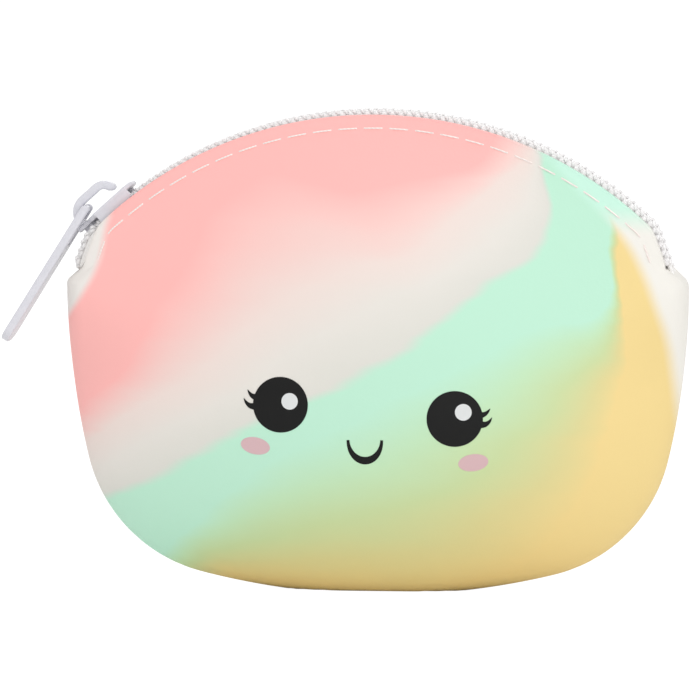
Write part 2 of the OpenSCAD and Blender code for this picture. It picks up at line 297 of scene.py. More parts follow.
# %% The borders of the swirl, as distance along the flow and height across it
flow = math.radians(37)
span = 200.0  # the curve node's 0 to 1 stands for -100 to 100 mm
all_pink = [(-100, 57), (-20, 57.5), (-10, 58.5), (0, 63), (10, 66), (15, 69), (20, 71), (25, 71), (30, 69.5),
            (35, 64), (40, 58.5), (50, 53), (55, 51), (60, 49.5), (65, 50.5), (100, 60)]
no_pink = [(-100, 51), (-20, 51.5), (0, 49.5), (15, 50), (30, 48.5), (35, 47), (40, 44.5), (50, 44), (65, 45),
           (100, 52)]
mint_border = [(-100, 50), (-25, 41.5), (-20, 40.2), (-10, 38.5), (0, 36.8), (10, 35), (20, 33), (25, 32),
               (30, 31), (40, 31), (50, 31.5), (60, 32), (65, 35), (67.5, 39), (70, 44), (100, 60)]
all_mint = [(-100, 30), (-20, 28), (-10, 29.5), (0, 29.5), (15, 26.6), (30, 24.2), (40, 22.2), (50, 20.8),
            (55, 18.8), (60, 16), (65, 17), (70, 24.8), (73, 29), (78, 70), (100, 90)]
all_yellow = [(-100, 20), (-20, 18), (-15, 13.8), (-10, 9.5), (0, 1.5), (10, -6), (20, -10), (30, -10.7),
              (40, -8.5), (50, -2.3), (55, 1.8), (60, 6), (65, 13), (70, 21.8), (73, 26), (78, 67), (100, 87)]
right_white_edge = [(-20, 60), (15, 57), (23.4, 54.3), (30.5, 53.2), (37.8, 52.3), (45.1, 51.2), (50.5, 49.5),
                    (57.5, 46.8), (62.8, 43.8), (67, 40), (70, 36.8), (75, 32), (100, 10)]
left_white_edge = [(-20, -80), (44, -58), (48.1, -55), (51.8, -52.1), (58.1, -48.7), (64.8, -47.3), (66.6, -46.8),
                   (70, -48), (100, -80)]


def border(material, distance, points):
    """The height of one colour border over a distance, both in millimetres."""
    scaled = add(material, "Math", {0: distance, 1: 1 / span, 2: 0.5}, operation="MULTIPLY_ADD")
    curve = add(material, "FloatCurve", {"Value": scaled.outputs[0]})
    line = curve.mapping.curves[0]
    places = [(x / span + 0.5, y / span + 0.5) for x, y in points]
    for place in places[1:-1]:
        line.points.new(*place)
    line.points[0].location, line.points[-1].location = places[0], places[-1]
    curve.mapping.update()
    height = add(material, "Math", {0: curve.outputs[0], 1: span, 2: -span / 2}, operation="MULTIPLY_ADD")
    return height.outputs[0]


print("borders of the swirl drawn from %d places" % sum(
    map(len, (all_pink, no_pink, mint_border, all_mint, all_yellow, right_white_edge, left_white_edge))))

# %% The silicone itself
silicone, shader = finish("marbled silicone rubber")
place = add(silicone, "TexCoord").outputs["Object"]
in_mm = add(silicone, "VectorMath", {0: place, "Scale": 1000.0}, operation="SCALE").outputs[0]
drag = add(silicone, "Mapping", {"Vector": in_mm, "Rotation": (0, flow, 0), "Scale": (0.02, 0.03, 0.12)})
swirl = add(silicone, "TexNoise", {"Vector": drag.outputs[0], "Scale": 1.0, "Detail": 3.0, "Roughness": 0.55})
wander = add(silicone, "Math", {0: swirl.outputs["Fac"], 1: 5.0, 2: -2.5}, operation="MULTIPLY_ADD").outputs[0]
parts = add(silicone, "SeparateXYZ", {0: in_mm})
x_mm, z_mm = parts.outputs["X"], parts.outputs["Z"]


def blend_of(a, b, share_a, share_b):
    """share_a times a plus share_b times b."""
    first = add(silicone, "Math", {0: a, 1: share_a}, operation="MULTIPLY").outputs[0]
    return add(silicone, "Math", {0: b, 1: share_b, 2: first}, operation="MULTIPLY_ADD").outputs[0]


along = blend_of(x_mm, z_mm, math.cos(flow), math.sin(flow))
across = blend_of(x_mm, z_mm, -math.sin(flow), math.cos(flow))
across = add(silicone, "Math", {0: across, 1: wander}, operation="ADD").outputs[0]


def soft_side(value, line, before, after):
    """0 where value is that far below the line, 1 where it is that far above."""
    over = add(silicone, "Math", {0: value, 1: line}, operation="SUBTRACT").outputs[0]
    return add(silicone, "MapRange", {"Value": over, "From Min": -before, "From Max": after},
               interpolation_type="SMOOTHSTEP").outputs[0]


def layer(under, over, share):
    """One colour laid over another by a share. A colour is a hex value or a socket."""
    mix = add(silicone, "Mix", {"Factor": share}, data_type="RGBA")
    for socket, value in ((mix.inputs[6], under), (mix.inputs[7], over)):
        if isinstance(value, str):
            socket.default_value = linear(value)
        else:
            wire(silicone, (value, socket))
    return mix.outputs[2]


def between(first, last):
    """0 at one border of the flow, 1 at another."""
    return add(silicone, "MapRange", {"Value": across, "From Min": border(silicone, along, first),
                                      "From Max": border(silicone, along, last)}).outputs[0]


lower = ramp_of(silicone, between(all_mint, all_yellow),
                ["BEEAD2", "C3E4BC", "CADAA4", "DDD497", "EFD592"])
cream = ramp_of(silicone, between(mint_border, no_pink), ["DCDBD3", "E5E0D9", "EDDCD5"])
upper = layer(cream, "FFBAB6", between(no_pink, all_pink))
flowed = layer(lower, upper, soft_side(across, border(silicone, along, mint_border), 1.5, 1.0))
strip = layer("EEEBE4", "C8F1DE", soft_side(z_mm, 66.0, 3.0, 3.0))
right = layer(flowed, strip, soft_side(x_mm, border(silicone, z_mm, right_white_edge), 1.2, 2.0))
colour = layer("EBE6E1", right, soft_side(x_mm, border(silicone, z_mm, left_white_edge), 1.0, 1.2))
# The mould's grain is about 0.45 mm, and as shallow as satin.
grain = add(silicone, "TexNoise", {"Vector": in_mm, "Scale": 2.2, "Detail": 2.0})
bump = add(silicone, "Bump", {"Strength": 0.06, "Distance": 0.0003, "Height": grain.outputs["Fac"]})
wire(silicone, (colour, shader.inputs["Base Color"]), (bump.outputs[0], shader.inputs["Normal"]))
shader.inputs["Roughness"].default_value = 0.55
shader.inputs["Specular IOR Level"].default_value = 0.35
shader.inputs["IOR"].default_value = 1.41
print("silicone: %d nodes" % len(silicone.node_tree.nodes))

# %% [markdown]
# ## Woven tape
# Zip tape is polyester, woven with a thread about every 0.35 mm. Modelled threads would take far too many faces,
# so two waves cross along the tape's own UV map, which is in millimetres. They are 0.7 mm apart, twice as coarse
# as the real weave, so that it shows. Soft fibres give the eye a rough surface with a little sheen.

# %% Polyester tape
tape_cloth, shader = finish("woven polyester tape")
weave = add(tape_cloth, "UVMap").outputs[0]
warp = add(tape_cloth, "TexWave", {"Vector": weave, "Scale": 0.45}, bands_direction="X")
weft = add(tape_cloth, "TexWave", {"Vector": weave, "Scale": 0.45}, bands_direction="Y")
both = add(tape_cloth, "Math", {0: warp.outputs["Fac"], 1: weft.outputs["Fac"]}, operation="MULTIPLY")
shade = ramp_of(tape_cloth, both.outputs[0], ["ECE8E4", "F8F6F4"])
bump = add(tape_cloth, "Bump", {"Strength": 0.5, "Distance": 0.0001, "Height": both.outputs[0]})
wire(tape_cloth, (shade, shader.inputs["Base Color"]), (bump.outputs[0], shader.inputs["Normal"]))
shader.inputs["Roughness"].default_value = 0.85
shader.inputs["Sheen Weight"].default_value = 0.2
print(tape_cloth.name)

# %% [markdown]
# ## Nylon, thread and cord
# The coil is a drawn nylon filament 0.7 mm thick: smooth, a little glossy, and milky, because light enters it
# and scatters, so it gets subsurface light and not only a white colour. The seam is a twisted polyester thread
# with a ply every half millimetre, drawn as a wave. The filler cord is spun and dull, drawn as a fine noise.

# %% Nylon filament
nylon, shader = finish("milky nylon filament")
spots = add(nylon, "TexNoise", {"Vector": add(nylon, "TexCoord").outputs["Object"], "Scale": 300.0, "Detail": 2.0})
shade = ramp_of(nylon, spots.outputs["Fac"], ["F1EEEE", "FAF8F8"])
wire(nylon, (shade, shader.inputs["Base Color"]))
shader.inputs["Roughness"].default_value = 0.38
shader.inputs["Subsurface Weight"].default_value = 0.5
shader.inputs["Subsurface Radius"].default_value = (0.6, 0.6, 0.6)
shader.inputs["Subsurface Scale"].default_value = 0.001
print(nylon.name)

# %% Twisted thread
thread, shader = finish("twisted polyester thread")
twist = add(thread, "Mapping", {"Vector": add(thread, "TexCoord").outputs["Object"], "Rotation": (0, 0.8, 0)})
plies = add(thread, "TexWave", {"Vector": twist.outputs[0], "Scale": 600.0}, bands_direction="X")
shade = ramp_of(thread, plies.outputs["Fac"], ["EFE2DD", "F9EFEB"])
wire(thread, (shade, shader.inputs["Base Color"]))
shader.inputs["Roughness"].default_value = 0.7
print(thread.name)

# %% Spun filler cord
cord, shader = finish("spun polyester cord")
fibres = add(cord, "TexNoise", {"Vector": add(cord, "TexCoord").outputs["Object"], "Scale": 2500.0, "Detail": 2.0})
shade = ramp_of(cord, fibres.outputs["Fac"], ["EFEDEC", "FBFAF9"])
wire(cord, (shade, shader.inputs["Base Color"]))
shader.inputs["Roughness"].default_value = 0.9
print(cord.name)

# %% [markdown]
# ## Lacquer
# The slider and its pull are die-cast zinc under a white lacquer with a hint of lilac. The metal is nowhere
# bare, so the shader is a lacquer and not a metal. A thin coat gives the eye a soft highlight, and a faint
# orange-peel about a millimetre wide breaks it up.

# %% White lacquer on cast zinc
lacquer, shader = finish("white lacquer on die-cast zinc")
peel = add(lacquer, "TexNoise", {"Vector": add(lacquer, "TexCoord").outputs["Object"], "Scale": 900.0, "Detail": 1.0})
bump = add(lacquer, "Bump", {"Strength": 0.08, "Distance": 0.0001, "Height": peel.outputs["Fac"]})
shade = ramp_of(lacquer, peel.outputs["Fac"], ["D5D5DC", "DEDDE4"])
wire(lacquer, (shade, shader.inputs["Base Color"]), (bump.outputs[0], shader.inputs["Normal"]))
shader.inputs["Roughness"].default_value = 0.33
shader.inputs["Coat Weight"].default_value = 0.25
shader.inputs["Coat Roughness"].default_value = 0.2
print(lacquer.name)

# %% [markdown]
# ## From a bmesh to a piece
# Every piece is made in metres where it belongs, so its object stays at the origin. Faces are shaded smooth,
# except across edges sharper than an angle. Each piece rides on the body that carries it, and stands for the
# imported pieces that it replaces.

# %% Helper that finishes a piece
def make_piece(name, bm, body, material, stands_for=(), crease=40):
    """Turns a bmesh into a finished piece on its body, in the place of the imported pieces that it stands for."""
    mesh = bpy.data.meshes.new(name)
    bm.to_mesh(mesh)
    bm.free()
    mesh.materials.append(material)
    mesh.polygons.foreach_set("use_smooth", [True] * len(mesh.polygons))
    mesh.set_sharp_from_angle(angle=math.radians(crease))
    made = bpy.data.objects.new(name, mesh)
    bpy.context.scene.collection.objects.link(made)
    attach(made, body)
    if stands_for:
        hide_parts(*stands_for)
    print("%s: %d faces" % (name, len(mesh.polygons)))
    return made


# %% [markdown]
# ## The moulded pouch
# A ball laid on its side has just the right net of faces: its two poles become the middles of the two
# bellies, and its equator becomes the outline. So two balls are made, one for the outside and one for the
# inside, and each of their points is moved to the pouch's skin. The strip of faces along the mouth is taken
# out of both, and the two openings are bridged, which makes the rim. Its edges get the small round that a
# mould leaves.

# %% The rim and the closed edge that the skin ends at
rings = 34


def cut_line(inset):
    """Right half of the pouch's own edge, from the sole's middle to the top, and where the mouth begins."""
    sides = closed_sides(inset, 2)
    if inset:
        ledge = [(half_width - inset, 52.4), (54.3 - inset, 53.4), (53.5 - inset, 54.2), (51.3, 57.0)]
    else:
        ledge = [(half_width, 53.7), (54.85, 54.4), (54.35, 55.1), (51.5, 57.6)]
    arch = [(bend_end[0] - 1.03 + k * 0.342, bend_end[1] - 0.38 - k * 0.94) for k in (4.4, 2.2)]
    return sides + ledge + arch + mouth_arch(-rim_drop, 2), len(sides) + len(ledge) - 1


def press_ball(bm, inset, ray_list):
    """Makes a ball and presses it to the skin, then opens it along the mouth."""
    right, mouth = cut_line(inset)
    outline = right + [(-x, z) for x, z in right[-2:0:-1]]
    bands = 2 * rings + 1
    made = bmesh.ops.create_uvsphere(bm, u_segments=len(outline), v_segments=bands, radius=1)["verts"]
    row, place_on = {}, {}
    for vert in made:
        i = round(math.acos(max(-1, min(1, vert.co.z))) / math.pi * bands)
        j = round(math.atan2(vert.co.y, vert.co.x) / (2 * math.pi) * len(outline)) % len(outline)
        row[vert], place_on[vert] = i, j
    for vert in made:
        i, (x, z) = row[vert], outline[place_on[vert]]
        ring = i if i <= rings else bands - i
        angle = math.atan2(z - belly_z, abs(x))
        reach = reach_at(ray_list, angle)
        out = (math.copysign(reach * math.cos(angle), x), reach * math.sin(angle))
        oval = oval_share(*out, inset)
        share = math.hypot(x, z - belly_z) / reach
        end = ring_of(share, oval) if share < 0.9999 else 1
        s = (1 - (1 - ring / rings) ** 1.8) * end
        grown = s * (s * s + (1 - s * s) * oval)
        side = -1 if i <= rings else 1
        depth = side * stand_off(s, out[1] + belly_z, inset)
        vert.co = Vector((grown * out[0], depth, belly_z + grown * out[1])) * MM
        vert.co.z = max(vert.co.z, inset * MM)
    mouth_face = [face for face in {f for v in made for f in v.link_faces}
                  if {row[v] for v in face.verts} == {rings, rings + 1}
                  and all(mouth <= place_on[v] <= len(outline) - mouth for v in face.verts)]
    bmesh.ops.delete(bm, geom=mouth_face, context="FACES")


# %% The pouch
pouch = bmesh.new()
press_ball(pouch, 0, outer_rays)
press_ball(pouch, wall, inner_rays)
open_edges = [edge for edge in pouch.edges if edge.is_boundary]
bmesh.ops.bridge_loops(pouch, edges=open_edges)
bmesh.ops.recalc_face_normals(pouch, faces=pouch.faces)
bmesh.ops.bevel(pouch, geom=open_edges, offset=0.35 * MM, offset_type="OFFSET", affect="EDGES", segments=3,
                profile=0.5, material=-1)
print("open edges left in the pouch:", sum(edge.is_boundary for edge in pouch.edges))
make_piece("pouch", pouch, "pouch", silicone, ["shell"], crease=60)

# %% [markdown]
# ## Tapes and filler cords
# Each tape lies flat under its coil, then turns down inside the rim, where it is sewn. It is drawn along the
# zip's line: one cross section of a few points, extruded step by step, with each new row set at its place.
# The same drawing makes the cord inside each coil.

# %% Drawing a cross section along the zip
def draw_along(section, start, end, steps, side):
    """A closed cross section of y and level, extruded along the zip from start to end. side mirrors it."""
    bm = bmesh.new()
    uv = bm.loops.layers.uv.new("weave")
    first = [bm.verts.new(on_zip(start, side * y, level)) for y, level in section]
    loop = [bm.edges.new((first[i], first[(i + 1) % len(first)])) for i in range(len(first))]
    bm.faces.new(first)
    row = {vert: (start, i) for i, vert in enumerate(first)}
    around = [0]
    for (y0, l0), (y1, l1) in zip(section, section[1:]):
        around.append(around[-1] + math.hypot(y1 - y0, l1 - l0))
    ring = first
    for step in range(1, steps + 1):
        s = start + (end - start) * step / steps
        grown = bmesh.ops.extrude_edge_only(bm, edges=loop)["geom"]
        new_verts = [g for g in grown if isinstance(g, bmesh.types.BMVert)]
        loop = [g for g in grown if isinstance(g, bmesh.types.BMEdge) and all(v in new_verts for v in g.verts)]
        partner = {v: next(e.other_vert(v) for e in v.link_edges if e.other_vert(v) in ring) for v in new_verts}
        for vert in new_verts:
            i = row[partner[vert]][1]
            row[vert] = (s, i)
            vert.co = on_zip(s, side * section[i][0], section[i][1])
        ring = new_verts
    bm.faces.new(sorted(ring, key=lambda v: row[v][1]))
    for face in bm.faces:
        for corner in face.loops:
            s, i = row[corner.vert]
            corner[uv].uv = (s, around[i])
    bmesh.ops.recalc_face_normals(bm, faces=bm.faces)
    return bm


tape_top, tape_thick, tape_out, tape_inner_edge, tape_low = -1.5, 0.45, 5.3, 1.3, -7.5
fold_radius, cord_y, cord_level, cord_radius = 1.3, -2.15, -0.75, 0.36


def fold(radius, steps):
    """The quarter circle in which the tape turns down."""
    quarter = [math.radians(90 * k / steps) for k in range(steps + 1)]
    return [(-tape_out + fold_radius - radius * math.cos(a), tape_top - fold_radius + radius * math.sin(a))
            for a in quarter]


tape_section = ([(-tape_out, tape_low)] + fold(fold_radius, 6)
                + [(-tape_inner_edge, tape_top), (-tape_inner_edge, tape_top - tape_thick)]
                + fold(fold_radius - tape_thick, 3)[::-1] + [(-tape_out + tape_thick, tape_low)])
cord_section = [(cord_y + cord_radius * math.cos(math.radians(a)),
                 cord_level + cord_radius * math.sin(math.radians(a))) for a in range(0, 360, 45)]
for side, end in ((1, "front"), (-1, "rear")):
    make_piece("zip_tape_" + end, draw_along(tape_section, -shoulder_end - 1.3, shoulder_end + 1.3, 150, side),
               "pouch", tape_cloth, ["tape_" + end])
    make_piece("filler_cord_" + end, draw_along(cord_section, -coil_end, coil_end, 120, side),
               "pouch", cord, ["core_cord_" + end])

# %% [markdown]
# ## The coils
# Each half of the chain is one nylon filament wound into a flat spiral, 1.5 mm from turn to turn. Its heads
# reach past the middle and hook between those of the other half, which sits half a turn further along. A
# curve with a round bevel is the natural way to make a filament, and it is turned into a mesh at the end.
# Left of the slider's nose the halves are parted. When the slider opens the zip, the whole chain parts, so
# each coil draws back towards its own tape as the slider travels. A soft sewing thread runs along the back of
# each row, low between the turns and the tape: it fills the gaps that would look dark beside the rim.

# %% One wound filament a side
pitch, filament, points_a_turn = 1.5, 0.34, 20
winding_level, winding_half, squarish = -0.86, 0.38, 0.45
sewing_y, sewing_level, sewing_steps = -2.6, -1.05, 8
slider_s = -(arc_length - 1)
first_s = -coil_end + 0.5
back, head = -3.1 + filament, 0.88 - filament
parted_head = -1.36 - filament


def filament_point(s, t, side):
    """A point of the winding: t goes once round the flat loop in each turn."""
    closed = soft_step((s - slider_s + 1.9) / 2.4)
    tip = parted_head + (head - parted_head) * closed
    c, w = math.cos(2 * math.pi * t), math.sin(2 * math.pi * t)
    y = (back + tip) / 2 - (tip - back) / 2 * math.copysign(abs(c) ** squarish, c)
    level = winding_level - winding_half * math.copysign(abs(w) ** squarish, w)
    return on_zip(s, side * y, level)


for side, end, shift in ((1, "front", 0.0), (-1, "rear", 0.5)):
    curve = bpy.data.curves.new("coil", "CURVE")
    curve.dimensions, curve.use_fill_caps = "3D", True
    curve.bevel_depth, curve.bevel_resolution = filament * MM, 2
    spline = curve.splines.new("POLY")
    turns = int((2 * coil_end - 1) / pitch)
    count = turns * points_a_turn
    spline.points.add(count - 1)
    for i in range(count):
        t = i / points_a_turn
        s = first_s + (t + shift) * pitch
        spline.points[i].co = (*filament_point(s, t, side), 1)
    sewing = curve.splines.new("POLY")
    sewing.points.add(turns * sewing_steps)
    for i, point in enumerate(sewing.points):
        t = i / sewing_steps
        bulge = math.sin(2 * math.pi * (t + shift))
        point.co = (*on_zip(first_s + t * pitch, side * (sewing_y + 0.08 * bulge), sewing_level), 1)
        point.radius = 1.3 + 0.15 * bulge
    temporary = bpy.data.objects.new("coil", curve)
    bpy.context.scene.collection.objects.link(temporary)
    winding = bmesh.new()
    winding.from_mesh(temporary.to_mesh())
    bpy.data.objects.remove(temporary)
    bmesh.ops.recalc_face_normals(winding, faces=winding.faces)
    coil = make_piece("coil_winding_" + end, winding, "pouch", nylon, ["coil_" + end], crease=80)
    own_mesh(coil)
    print("%d turns in the %s coil" % (turns, end))

# %% [markdown]
# ## Stitches
# The seam runs 2.3 mm inside the rim. Each stitch lies on the silicone for about 4 mm and dips into a needle
# hole at both ends, so each is a small rod whose rings sink towards its tips.

# %% Two rows of stitches
stitch_length, stitch_pitch, thread_radius = 4.1, 4.87, 0.15
seam_inset, rim_reach = 2.3, 1.6


def seam_place(s):
    """x and z of the seam at the distance s along the zip."""
    x, z, slope = zip_place(s)
    nx, nz = math.sin(math.radians(slope)), math.cos(math.radians(slope))
    bx, bz = x + rim_reach * nx, z + rim_reach * nz
    share = 1 - (rim_reach + rim_drop + seam_inset) / (bx * nx + (bz - belly_z) * nz)
    return share * bx, belly_z + share * (bz - belly_z)


def seam_rows(side):
    """All the stitches on one side: rods of unit size, each laid on the skin before the next is made."""
    bm = bmesh.new()
    last = int((shoulder_end - stitch_length) / stitch_pitch)
    for k in range(-last, last + 1):
        made = bmesh.ops.create_cone(bm, segments=8, radius1=1, radius2=1, depth=2, cap_ends=True)["verts"]
        long_edges = [e for e in {e for v in made for e in v.link_edges}
                      if abs(e.verts[0].co.z - e.verts[1].co.z) > 1]
        bmesh.ops.subdivide_edges(bm, edges=long_edges, cuts=9)
        stitch = [v for v in bm.verts if abs(v.co.x) <= 1.01 and abs(v.co.z) <= 1.01 and v.co.length > 0.5]
        for v in stitch:
            t = v.co.z
            s = k * stitch_pitch + t * stitch_length / 2
            x, z = seam_place(s)
            ahead = seam_place(s + 0.2)
            way = Vector((ahead[0] - x, 0, ahead[1] - z)).normalized()
            over = Vector((-way.z, 0, way.x))
            sink = 0.42 * abs(t) ** 6
            depth = skin_depth(x, z) + 0.1 - sink
            v.co = (Vector((x, -side * depth, z)) + over * v.co.x * thread_radius
                    + Vector((0, side, 0)) * v.co.y * thread_radius) * MM
    bmesh.ops.recalc_face_normals(bm, faces=bm.faces)
    return bm


for side, end in ((1, "front"), (-1, "rear")):
    make_piece("stitches_" + end, seam_rows(side), "pouch", thread, ["seam_thread_" + end])
    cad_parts["bobbin_thread_" + end].data.materials.clear()
    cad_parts["bobbin_thread_" + end].data.materials.append(thread)

# %% [markdown]
# ## The slider
# A cast slider is two plates joined by a wedge at its nose, with a side wall down each edge and an arch, the
# crown, that the pull hangs from. Each of its slabs is a flat outline, extruded and bevelled, and the slabs
# overlap where the casting is one. It is made in its own frame, with X along the zip and Z out of the purse,
# and then laid on the zip's line.

# %% A bevelled slab
def slab(target, outline, low, high, edge, place=None):
    """Adds a flat outline, extruded from low to high with its sharp edges rounded by edge, in millimetres."""
    part = bmesh.new()
    face = part.faces.new([part.verts.new((x, y, low)) for x, y in outline])
    grown = bmesh.ops.extrude_face_region(part, geom=[face])["geom"]
    bmesh.ops.translate(part, vec=(0, 0, high - low), verts=[g for g in grown if isinstance(g, bmesh.types.BMVert)])
    bmesh.ops.recalc_face_normals(part, faces=part.faces)
    sharp = [e for e in part.edges if e.is_manifold and e.calc_face_angle(0) > math.radians(28)]
    bmesh.ops.bevel(part, geom=sharp, offset=edge, offset_type="OFFSET", affect="EDGES", segments=3, profile=0.5,
                    material=-1)
    if place:
        bmesh.ops.transform(part, matrix=place, verts=part.verts)
    mesh = bpy.data.meshes.new("slab")
    part.to_mesh(mesh)
    part.free()
    target.from_mesh(mesh)
    bpy.data.meshes.remove(mesh)


x, z, slope = zip_place(slider_s)
slider_frame = (Matrix.Translation(Vector((x, 0, z)) * MM) @ Matrix.Rotation(math.radians(slope), 4, "Y")
                @ Matrix.Scale(MM, 4))
upright = Matrix.Rotation(math.radians(90), 4, "X")
print("slider's plane leans %.0f degrees" % slope)

# %% Plates, walls, wedge and crown
plate_low, plate_top, under_top, plate_thick = 0.2, 1.05, -2.45, 0.85
half_slider, wall_start, wall_length, wall_thick = 4.45, -1.9, 7.2, 1.0
nose_half, wedge_start, under_end, wall_end = 1.4, -5.6, 5.95, wall_start + wall_length
under_low = under_top - plate_thick
plate_side = [(-6.5, nose_half - 0.4), (-5.9, nose_half), (wall_start - 2.05, nose_half), (wall_start, half_slider),
              (wall_end, half_slider), (6.1, 0.8 * half_slider), (6.5, 0.58 * half_slider)]
plate_outline = [(u, -w) for u, w in plate_side] + [(u, w) for u, w in plate_side[::-1]]


def oblong(start, end, low, high):
    """The corners of an oblong along the zip."""
    return [(start, low), (end, low), (end, high), (start, high)]


slider = bmesh.new()
slab(slider, plate_outline, plate_low, plate_top, 0.22)
slab(slider, oblong(wall_start, under_end, -half_slider, half_slider), under_low, under_top, 0.2)
slab(slider, oblong(wedge_start, wall_start + 1, -1, 1), under_low, under_top, 0.2)
wedge = [(wedge_start, -0.3), (-3.9, -1), (-2, -0.15), (-2, 0.15), (-3.9, 1), (wedge_start, 0.3)]
slab(slider, wedge, under_top - 0.1, plate_low + 0.1, 0.05)
for side in (-1, 1):
    walls = oblong(wall_start, wall_end, *sorted((side * half_slider, side * (half_slider - wall_thick))))
    slab(slider, walls, -1.2, plate_low + 0.3, 0.12)
    slab(slider, walls, under_top - 0.3, -2.3, 0.1)
crown_thick, crown_width, crown_height, nose_arc, end_arc = 1.5, 2.4, 4, 3.6, 2.9
nose_centre, end_centre = (-2.3, plate_top + crown_height - nose_arc), (0.95, plate_top + crown_height - end_arc)
crown_outline = ([(nose_centre[0] - nose_arc, plate_top - 0.3)]
                 + arc(nose_centre, nose_arc, 270, 180, 10) + arc(end_centre, end_arc, 180, 100, 10)
                 + [(end_centre[0] + end_arc - 0.15, plate_top + 0.95),
                    (end_centre[0] + end_arc - 0.85, plate_top + 0.8)]
                 + arc(end_centre, end_arc - crown_thick, 105, 180, 8)
                 + arc(nose_centre, nose_arc - crown_thick, 180, 270, 8)
                 + [(nose_centre[0] - nose_arc + crown_thick, plate_top - 0.3)])
slab(slider, crown_outline, -crown_width / 2, crown_width / 2, 0.3, upright)
bmesh.ops.transform(slider, matrix=slider_frame, verts=slider.verts)
make_piece("slider_casting", slider, "slider", lacquer, ["slider_body"], crease=35)

# %% [markdown]
# ## The pull
# The pull is a flat bar with a window at its eye, so one bevelled outline makes it. The short round bar across
# the window's end hangs in the crown, and the pull hangs down past the slider's nose and the shoulder.

# %% Bar, window and eye
pull_length, eye_width, end_width, pull_thick = 27.5, 5.8, 7.4, 1.5
window_length, window_width, end_round, pull_lean = 7.25, 3.1, 2.5, 16
eye_at = Vector((-2.9, 0, 2.7))
pull_outline = ([(0, -eye_width / 2), (0, -window_width / 2), (-window_length, -window_width / 2),
                 (-window_length, window_width / 2), (0, window_width / 2), (0, eye_width / 2)]
                + [(end_round - pull_length - end_round * math.sin(math.radians(a)),
                    end_width / 2 - end_round + end_round * math.cos(math.radians(a))) for a in range(0, 91, 15)]
                + [(end_round - pull_length - end_round * math.cos(math.radians(a)),
                    -end_width / 2 + end_round - end_round * math.sin(math.radians(a))) for a in range(0, 91, 15)])
pull = bmesh.new()
slab(pull, pull_outline, -pull_thick / 2, pull_thick / 2, 0.3)
for centre, radius, length in ((-2.225, 0.75, 1.35), (2.225, 0.75, 1.35), (0, 0.6, 4.4)):
    made = bmesh.ops.create_cone(pull, segments=32, radius1=radius, radius2=radius, depth=length, cap_ends=True,
                                 matrix=Matrix.Translation((0, centre, 0)) @ upright)["verts"]
    rims = [e for e in {e for v in made for e in v.link_edges} if abs(e.verts[0].co.y - e.verts[1].co.y) < 0.01]
    bmesh.ops.bevel(pull, geom=rims, offset=0.2, offset_type="OFFSET", affect="EDGES", segments=3, profile=0.5,
                    material=-1)
lean = Matrix.Translation(eye_at) @ Matrix.Rotation(math.radians(-pull_lean), 4, "Y")
bmesh.ops.transform(pull, matrix=slider_frame @ lean, verts=pull.verts)
make_piece("pull_bar", pull, "pull", lacquer, ["pull_tab"], crease=35)

# %% [markdown]
# ## The printed face
# Two round eyes with a highlight and two lashes each, a small smile and two blushes are screen-printed on
# the front in thick silicone ink. Each is a flat shape of a few points, cut finely enough to lie on the
# curved belly, and moved onto the skin, a hair's breadth proud. Such dot-eyed faces are common property, and
# this one is drawn from circles, ellipses and strokes.

# %% Inks
def ink(name, code, roughness):
    """Matt ink of one colour, with the faint unevenness, under a millimetre wide, of a printed film."""
    material, shader = finish(name)
    place = add(material, "TexCoord").outputs["Object"]
    film = add(material, "TexNoise", {"Vector": place, "Scale": 1500.0, "Detail": 1.0})
    bump = add(material, "Bump", {"Strength": 0.05, "Distance": 0.0001, "Height": film.outputs["Fac"]})
    wire(material, (bump.outputs[0], shader.inputs["Normal"]))
    shader.inputs["Base Color"].default_value = linear(code)
    shader.inputs["Roughness"].default_value = roughness
    shader.inputs["Specular IOR Level"].default_value = 0.2
    return material


black_ink = ink("black silicone ink", "141414", 0.5)
white_ink = ink("white silicone ink", "DCDEDE", 0.5)
blush_ink = ink("blush silicone ink", "D6B4B8", 0.55)
print("inks:", black_ink.name, white_ink.name, blush_ink.name)


# %% Laying a flat shape on the belly
def lay_on_front(name, bm, material, proud):
    """Moves a flat shape, made in x and y as seen from the front, onto the skin and thickens it inwards."""
    for vert in bm.verts:
        x, z = vert.co.x, vert.co.y
        vert.co = Vector((x, -skin_depth(x, z) - proud, z)) * MM
    bmesh.ops.recalc_face_normals(bm, faces=bm.faces)
    if sum(f.normal.y for f in bm.faces) > 0:
        bmesh.ops.reverse_faces(bm, faces=bm.faces)
    bmesh.ops.solidify(bm, geom=bm.faces, thickness=(proud + 0.04) * MM)
    bmesh.ops.recalc_face_normals(bm, faces=bm.faces)
    return make_piece(name, bm, "pouch", material, crease=60)


def spot(x, z, half_long, half_high, tilt=0):
    """A filled ellipse, cut into rings."""
    bm = bmesh.new()
    bmesh.ops.create_circle(bm, cap_ends=True, cap_tris=True, segments=64, radius=1)
    spokes = [e for e in bm.edges if not e.is_boundary]
    bmesh.ops.subdivide_edges(bm, edges=spokes, cuts=max(1, round(half_long) - 1))
    move = (Matrix.Translation((x, z, 0)) @ Matrix.Rotation(math.radians(tilt), 4, "Z")
            @ Matrix.Diagonal((half_long, half_high, 1, 1)))
    bmesh.ops.transform(bm, matrix=move, verts=bm.verts)
    return bm


